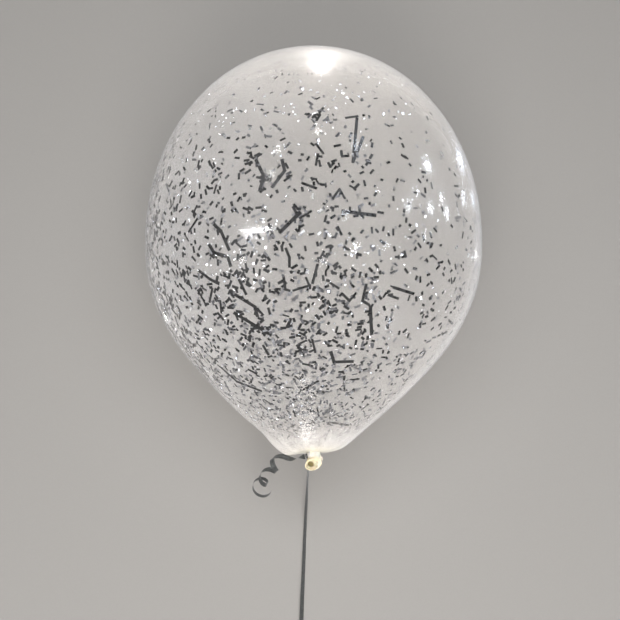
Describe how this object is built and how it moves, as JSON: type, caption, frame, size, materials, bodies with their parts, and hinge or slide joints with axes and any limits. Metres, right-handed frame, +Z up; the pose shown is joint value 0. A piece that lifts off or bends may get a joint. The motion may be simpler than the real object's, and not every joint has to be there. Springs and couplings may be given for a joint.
{
  "type": "glitter balloon",
  "caption": "Clear latex party balloon filled with thin silver foil strips, tied at the neck with a curling ribbon and lying on its side.",
  "frame": {"origin": "middle of the balloon's box, at the level of what it lies on", "axes": "+Y from the neck to the crown along the floor, +Z up, +X to the right seen from the neck end"},
  "size_m": [0.305, 0.5382, 0.3048],
  "materials": {
    "clear_latex": "clear, slightly milky blown latex with a soft gloss",
    "silver_foil": "thin shredded silver foil strips inside the balloon",
    "satin_ribbon": "dark grey satin curling ribbon with fine lengthwise lines"
  },
  "bodies": {
    "root": {"balloon": "clear_latex", "ribbon_tie": "satin_ribbon", "ribbon_tail": "satin_ribbon", "ribbon_curl": "satin_ribbon", "ribbon_end_loop": "satin_ribbon"}
  },
  "joints": []
}
